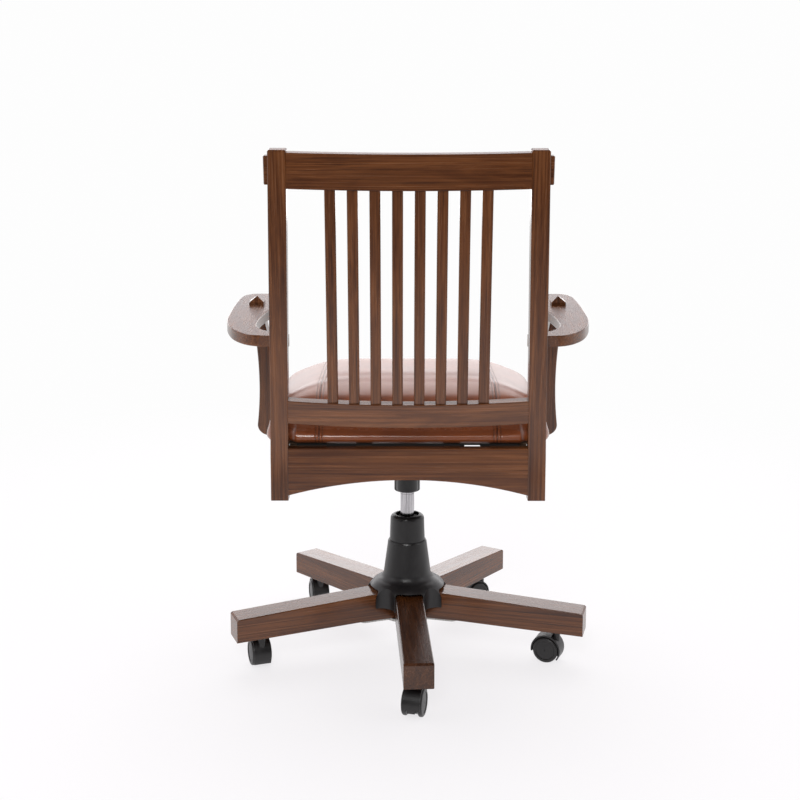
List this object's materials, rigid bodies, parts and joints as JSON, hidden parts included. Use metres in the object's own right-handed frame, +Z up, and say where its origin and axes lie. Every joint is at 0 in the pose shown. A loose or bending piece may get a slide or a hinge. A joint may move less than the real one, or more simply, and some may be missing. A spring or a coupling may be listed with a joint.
{
  "type": "swivel arm chair",
  "caption": "Wooden swivel arm chair with a slatted raked back, flat curved arms, a domed leather seat, a tilting gas-lift column and a star base on twin-wheel casters.",
  "frame": {"origin": "on the floor under the axis of the column", "axes": "+Z up along the column, the sitter faces -Y, +X is the sitter's left"},
  "size_m": [0.7064, 0.6833, 1.0143],
  "materials": {
    "walnut": "satin",
    "plain_wood": "matte",
    "leather": "satin",
    "black_plastic": "satin",
    "caster_plastic": "satin",
    "nylon": "matte",
    "chrome": "polished",
    "steel": "satin",
    "black_metal": "satin"
  },
  "bodies": {
    "base": {"base_hub": "steel", "leg_1": "walnut", "leg_2": "walnut", "leg_3": "walnut", "leg_4": "walnut", "leg_5": "walnut", "leg_bolts": "steel", "hub_cover": "black_plastic", "column_sleeve": "black_plastic", "column_tube": "steel", "column_bush": "nylon", "caster_sockets": "steel", "thrust_bearing": "steel"},
    "spindle": {"gas_rod": "steel", "retaining_clip": "steel"},
    "column": {"gas_cylinder": "chrome", "tilt_housing": "black_metal", "tilt_pin": "steel", "tilt_spring": "steel"},
    "release_pin": {"release_pin": "steel"},
    "tension_knob": {"tension_knob": "black_plastic"},
    "lift_lever": {"lift_lever": "black_metal"},
    "seat": {"seat_plate": "black_metal", "plate_bolts": "steel", "seat_bearers": "plain_wood", "rear_apron": "walnut", "front_apron": "walnut", "side_rail_left": "walnut", "side_rail_right": "walnut", "seat_board": "plain_wood", "seat_cushion": "leather", "post_left": "walnut", "post_right": "walnut", "crest_rail": "walnut", "lower_rail": "walnut", "back_slats": "walnut", "arm_left": "walnut", "arm_right": "walnut", "arm_support_left": "walnut", "arm_support_right": "walnut"},
    "caster_1": {"caster_1_hood": "caster_plastic", "caster_1_pins": "steel"},
    "caster_1_left": {"caster_1_wheel_left": "caster_plastic"},
    "caster_1_right": {"caster_1_wheel_right": "caster_plastic"},
    "caster_2": {"caster_2_hood": "caster_plastic", "caster_2_pins": "steel"},
    "caster_2_left": {"caster_2_wheel_left": "caster_plastic"},
    "caster_2_right": {"caster_2_wheel_right": "caster_plastic"},
    "caster_3": {"caster_3_hood": "caster_plastic", "caster_3_pins": "steel"},
    "caster_3_left": {"caster_3_wheel_left": "caster_plastic"},
    "caster_3_right": {"caster_3_wheel_right": "caster_plastic"},
    "caster_4": {"caster_4_hood": "caster_plastic", "caster_4_pins": "steel"},
    "caster_4_left": {"caster_4_wheel_left": "caster_plastic"},
    "caster_4_right": {"caster_4_wheel_right": "caster_plastic"},
    "caster_5": {"caster_5_hood": "caster_plastic", "caster_5_pins": "steel"},
    "caster_5_left": {"caster_5_wheel_left": "caster_plastic"},
    "caster_5_right": {"caster_5_wheel_right": "caster_plastic"}
  },
  "joints": [
    {"name": "seat_swivel", "type": "hinge", "parent": "base", "child": "spindle", "pos_m": [0, 0, 0.069], "axis": [0, 0, 1], "continuous": true},
    {"name": "seat_height", "type": "slide", "parent": "spindle", "child": "column", "axis": [0, 0, 1], "range_m": [-0.04, 0.06]},
    {"name": "seat_tilt", "type": "hinge", "parent": "column", "child": "seat", "pos_m": [0, -0.045, 0.412], "axis": [-1, 0, 0], "range_deg": [0, 12], "stiffness_Nm_per_rad": 120, "springref_deg": -14.32},
    {"name": "lift_lever_turn", "type": "hinge", "parent": "column", "child": "lift_lever", "pos_m": [-0.038, 0, 0.3827], "axis": [0, 1, 0], "range_deg": [0, 4], "stiffness_Nm_per_rad": 1.5, "springref_deg": -11.46},
    {"name": "release_pin_slide", "type": "slide", "parent": "column", "child": "release_pin", "axis": [0, 0, -1], "range_m": [0, 0.003]},
    {"name": "tension_knob_turn", "type": "hinge", "parent": "column", "child": "tension_knob", "pos_m": [0, -0.084, 0.33], "axis": [0, 0, 1], "range_deg": [-1080, 1080]},
    {"name": "caster_1_swivel", "type": "hinge", "parent": "base", "child": "caster_1", "pos_m": [-0.01612, 0.30758, 0.09], "axis": [0, 0, 1], "continuous": true},
    {"name": "caster_1_left_spin", "type": "hinge", "parent": "caster_1", "child": "caster_1_left", "pos_m": [-0.01146, 0.32497, 0.0255], "axis": [0.9659, -0.2588, 0], "continuous": true},
    {"name": "caster_1_right_spin", "type": "hinge", "parent": "caster_1", "child": "caster_1_right", "pos_m": [-0.01146, 0.32497, 0.0255], "axis": [0.9659, -0.2588, 0], "continuous": true},
    {"name": "caster_2_swivel", "type": "hinge", "parent": "base", "child": "caster_2", "pos_m": [-0.29751, 0.07972, 0.09], "axis": [0, 0, 1], "continuous": true},
    {"name": "caster_2_left_spin", "type": "hinge", "parent": "caster_2", "child": "caster_2_left", "pos_m": [-0.28094, 0.07268, 0.0255], "axis": [-0.3907, -0.9205, 0], "continuous": true},
    {"name": "caster_2_right_spin", "type": "hinge", "parent": "caster_2", "child": "caster_2_right", "pos_m": [-0.28094, 0.07268, 0.0255], "axis": [-0.3907, -0.9205, 0], "continuous": true},
    {"name": "caster_3_swivel", "type": "hinge", "parent": "base", "child": "caster_3", "pos_m": [-0.16775, -0.25831, 0.09], "axis": [0, 0, 1], "continuous": true},
    {"name": "caster_3_left_spin", "type": "hinge", "parent": "caster_3", "child": "caster_3_left", "pos_m": [-0.15216, -0.24931, 0.0255], "axis": [0.5, -0.866, 0], "continuous": true},
    {"name": "caster_3_right_spin", "type": "hinge", "parent": "caster_3", "child": "caster_3_right", "pos_m": [-0.15216, -0.24931, 0.0255], "axis": [0.5, -0.866, 0], "continuous": true},
    {"name": "caster_4_swivel", "type": "hinge", "parent": "base", "child": "caster_4", "pos_m": [0.19383, -0.23936, 0.09], "axis": [0, 0, 1], "continuous": true},
    {"name": "caster_4_left_spin", "type": "hinge", "parent": "caster_4", "child": "caster_4_left", "pos_m": [0.19849, -0.25675, 0.0255], "axis": [-0.9659, -0.2588, 0], "continuous": true},
    {"name": "caster_4_right_spin", "type": "hinge", "parent": "caster_4", "child": "caster_4_right", "pos_m": [0.19849, -0.25675, 0.0255], "axis": [-0.9659, -0.2588, 0], "continuous": true},
    {"name": "caster_5_swivel", "type": "hinge", "parent": "base", "child": "caster_5", "pos_m": [0.28754, 0.11038, 0.09], "axis": [0, 0, 1], "continuous": true},
    {"name": "caster_5_left_spin", "type": "hinge", "parent": "caster_5", "child": "caster_5_left", "pos_m": [0.2937, 0.09346, 0.0255], "axis": [-0.9397, -0.342, 0], "continuous": true},
    {"name": "caster_5_right_spin", "type": "hinge", "parent": "caster_5", "child": "caster_5_right", "pos_m": [0.2937, 0.09346, 0.0255], "axis": [-0.9397, -0.342, 0], "continuous": true}
  ],
  "couplings": [
    {"joint": "release_pin_slide", "follows": "lift_lever_turn", "m_per_rad": 0.042}
  ]
}
